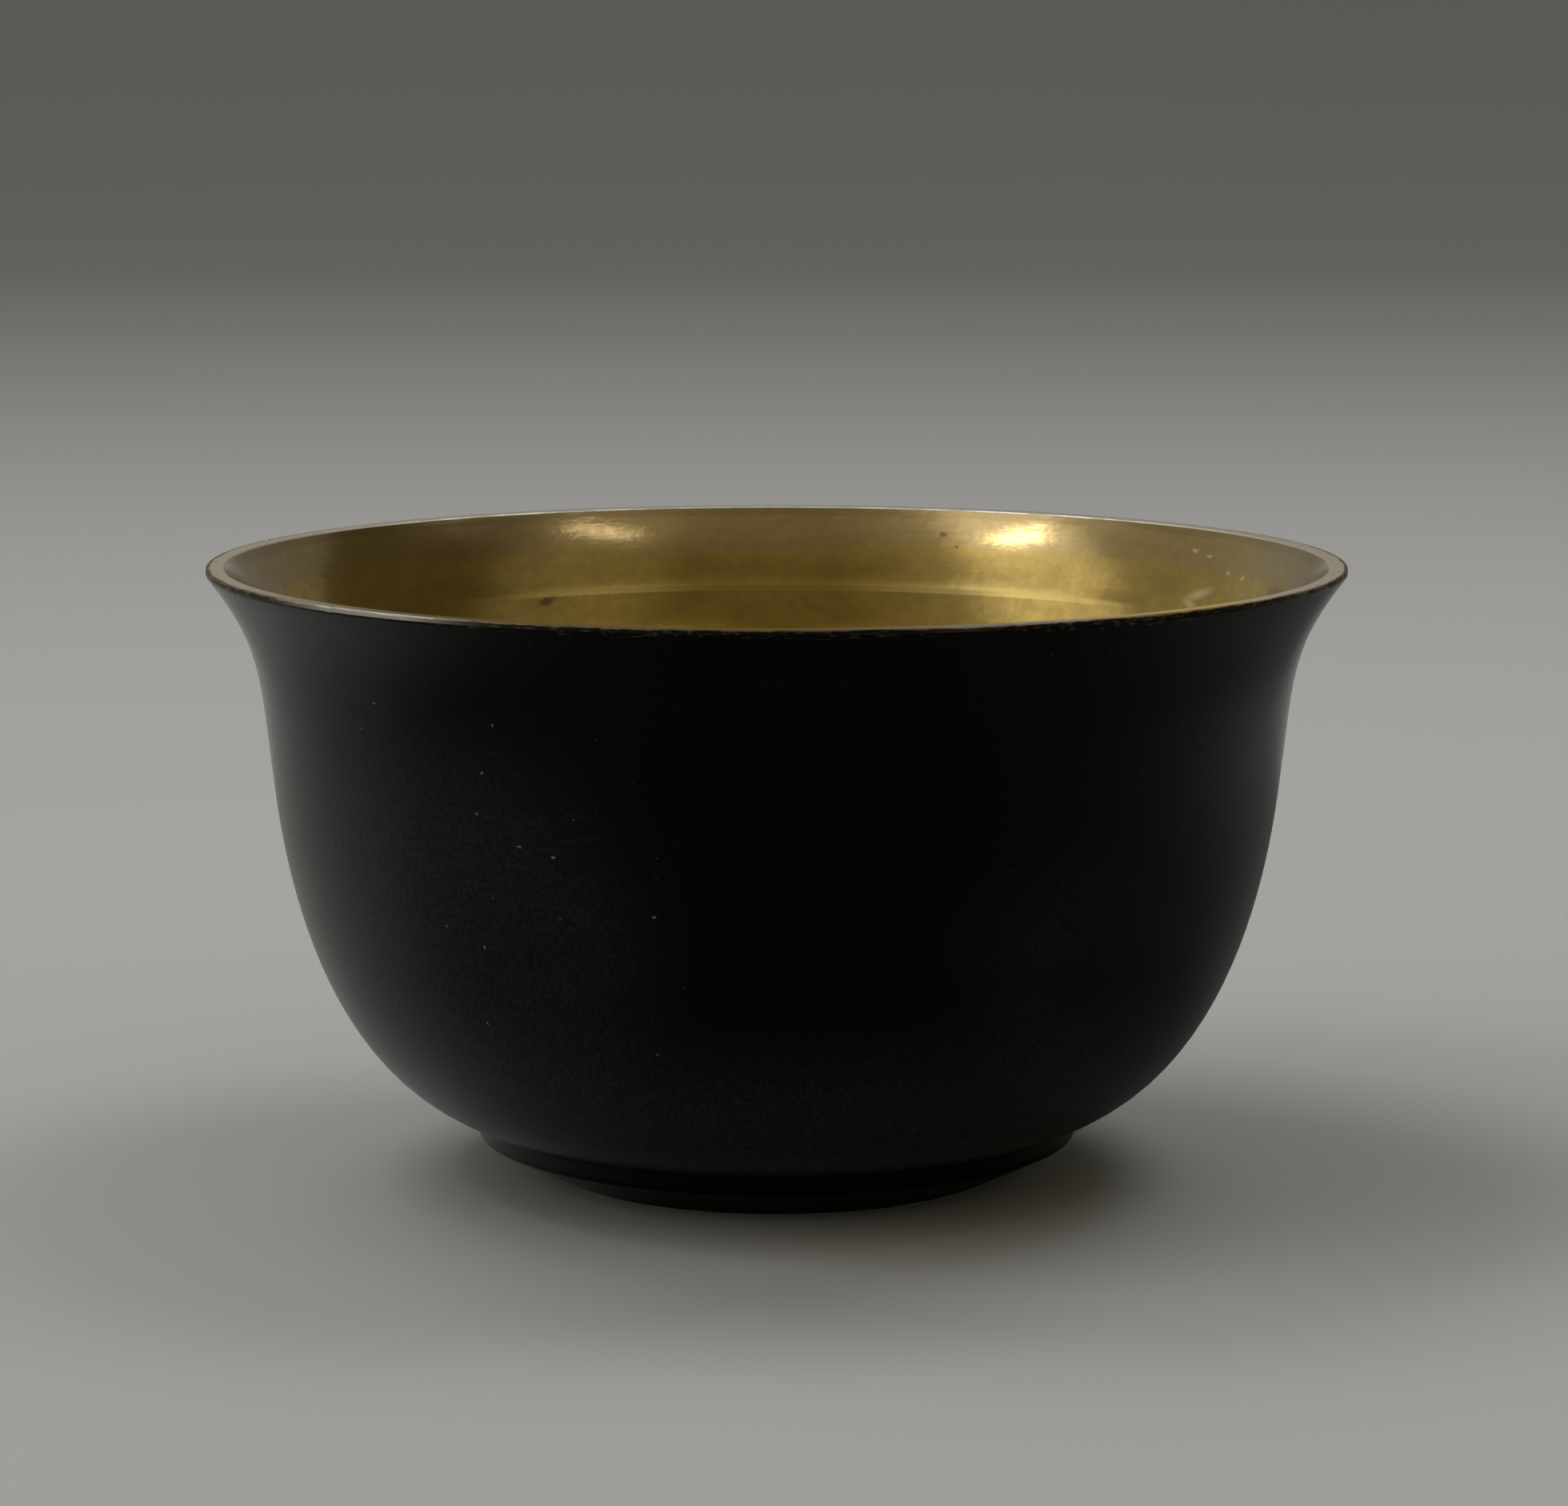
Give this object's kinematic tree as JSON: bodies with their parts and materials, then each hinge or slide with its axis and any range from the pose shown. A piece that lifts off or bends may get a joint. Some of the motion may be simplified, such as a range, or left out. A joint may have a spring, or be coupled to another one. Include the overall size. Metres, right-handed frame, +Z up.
{
  "type": "footed metal bowl",
  "caption": "Hollow round bowl with a flat-topped flared lip, a full belly and a low inset foot; blackened outside, bare brass inside. Stands alone and holds liquid or small things.",
  "frame": {"origin": "middle of the plane that the bowl stands on", "axes": "+Z up along the turning axis, towards the mouth; +X and +Y are any two square directions, because the bowl is round"},
  "size_m": [0.145, 0.145, 0.0785],
  "materials": {
    "bowl": "satin black patina outside and under the foot, bare tarnished brass inside and on the worn lip"
  },
  "bodies": {
    "root": {"bowl": "bowl"}
  },
  "joints": []
}
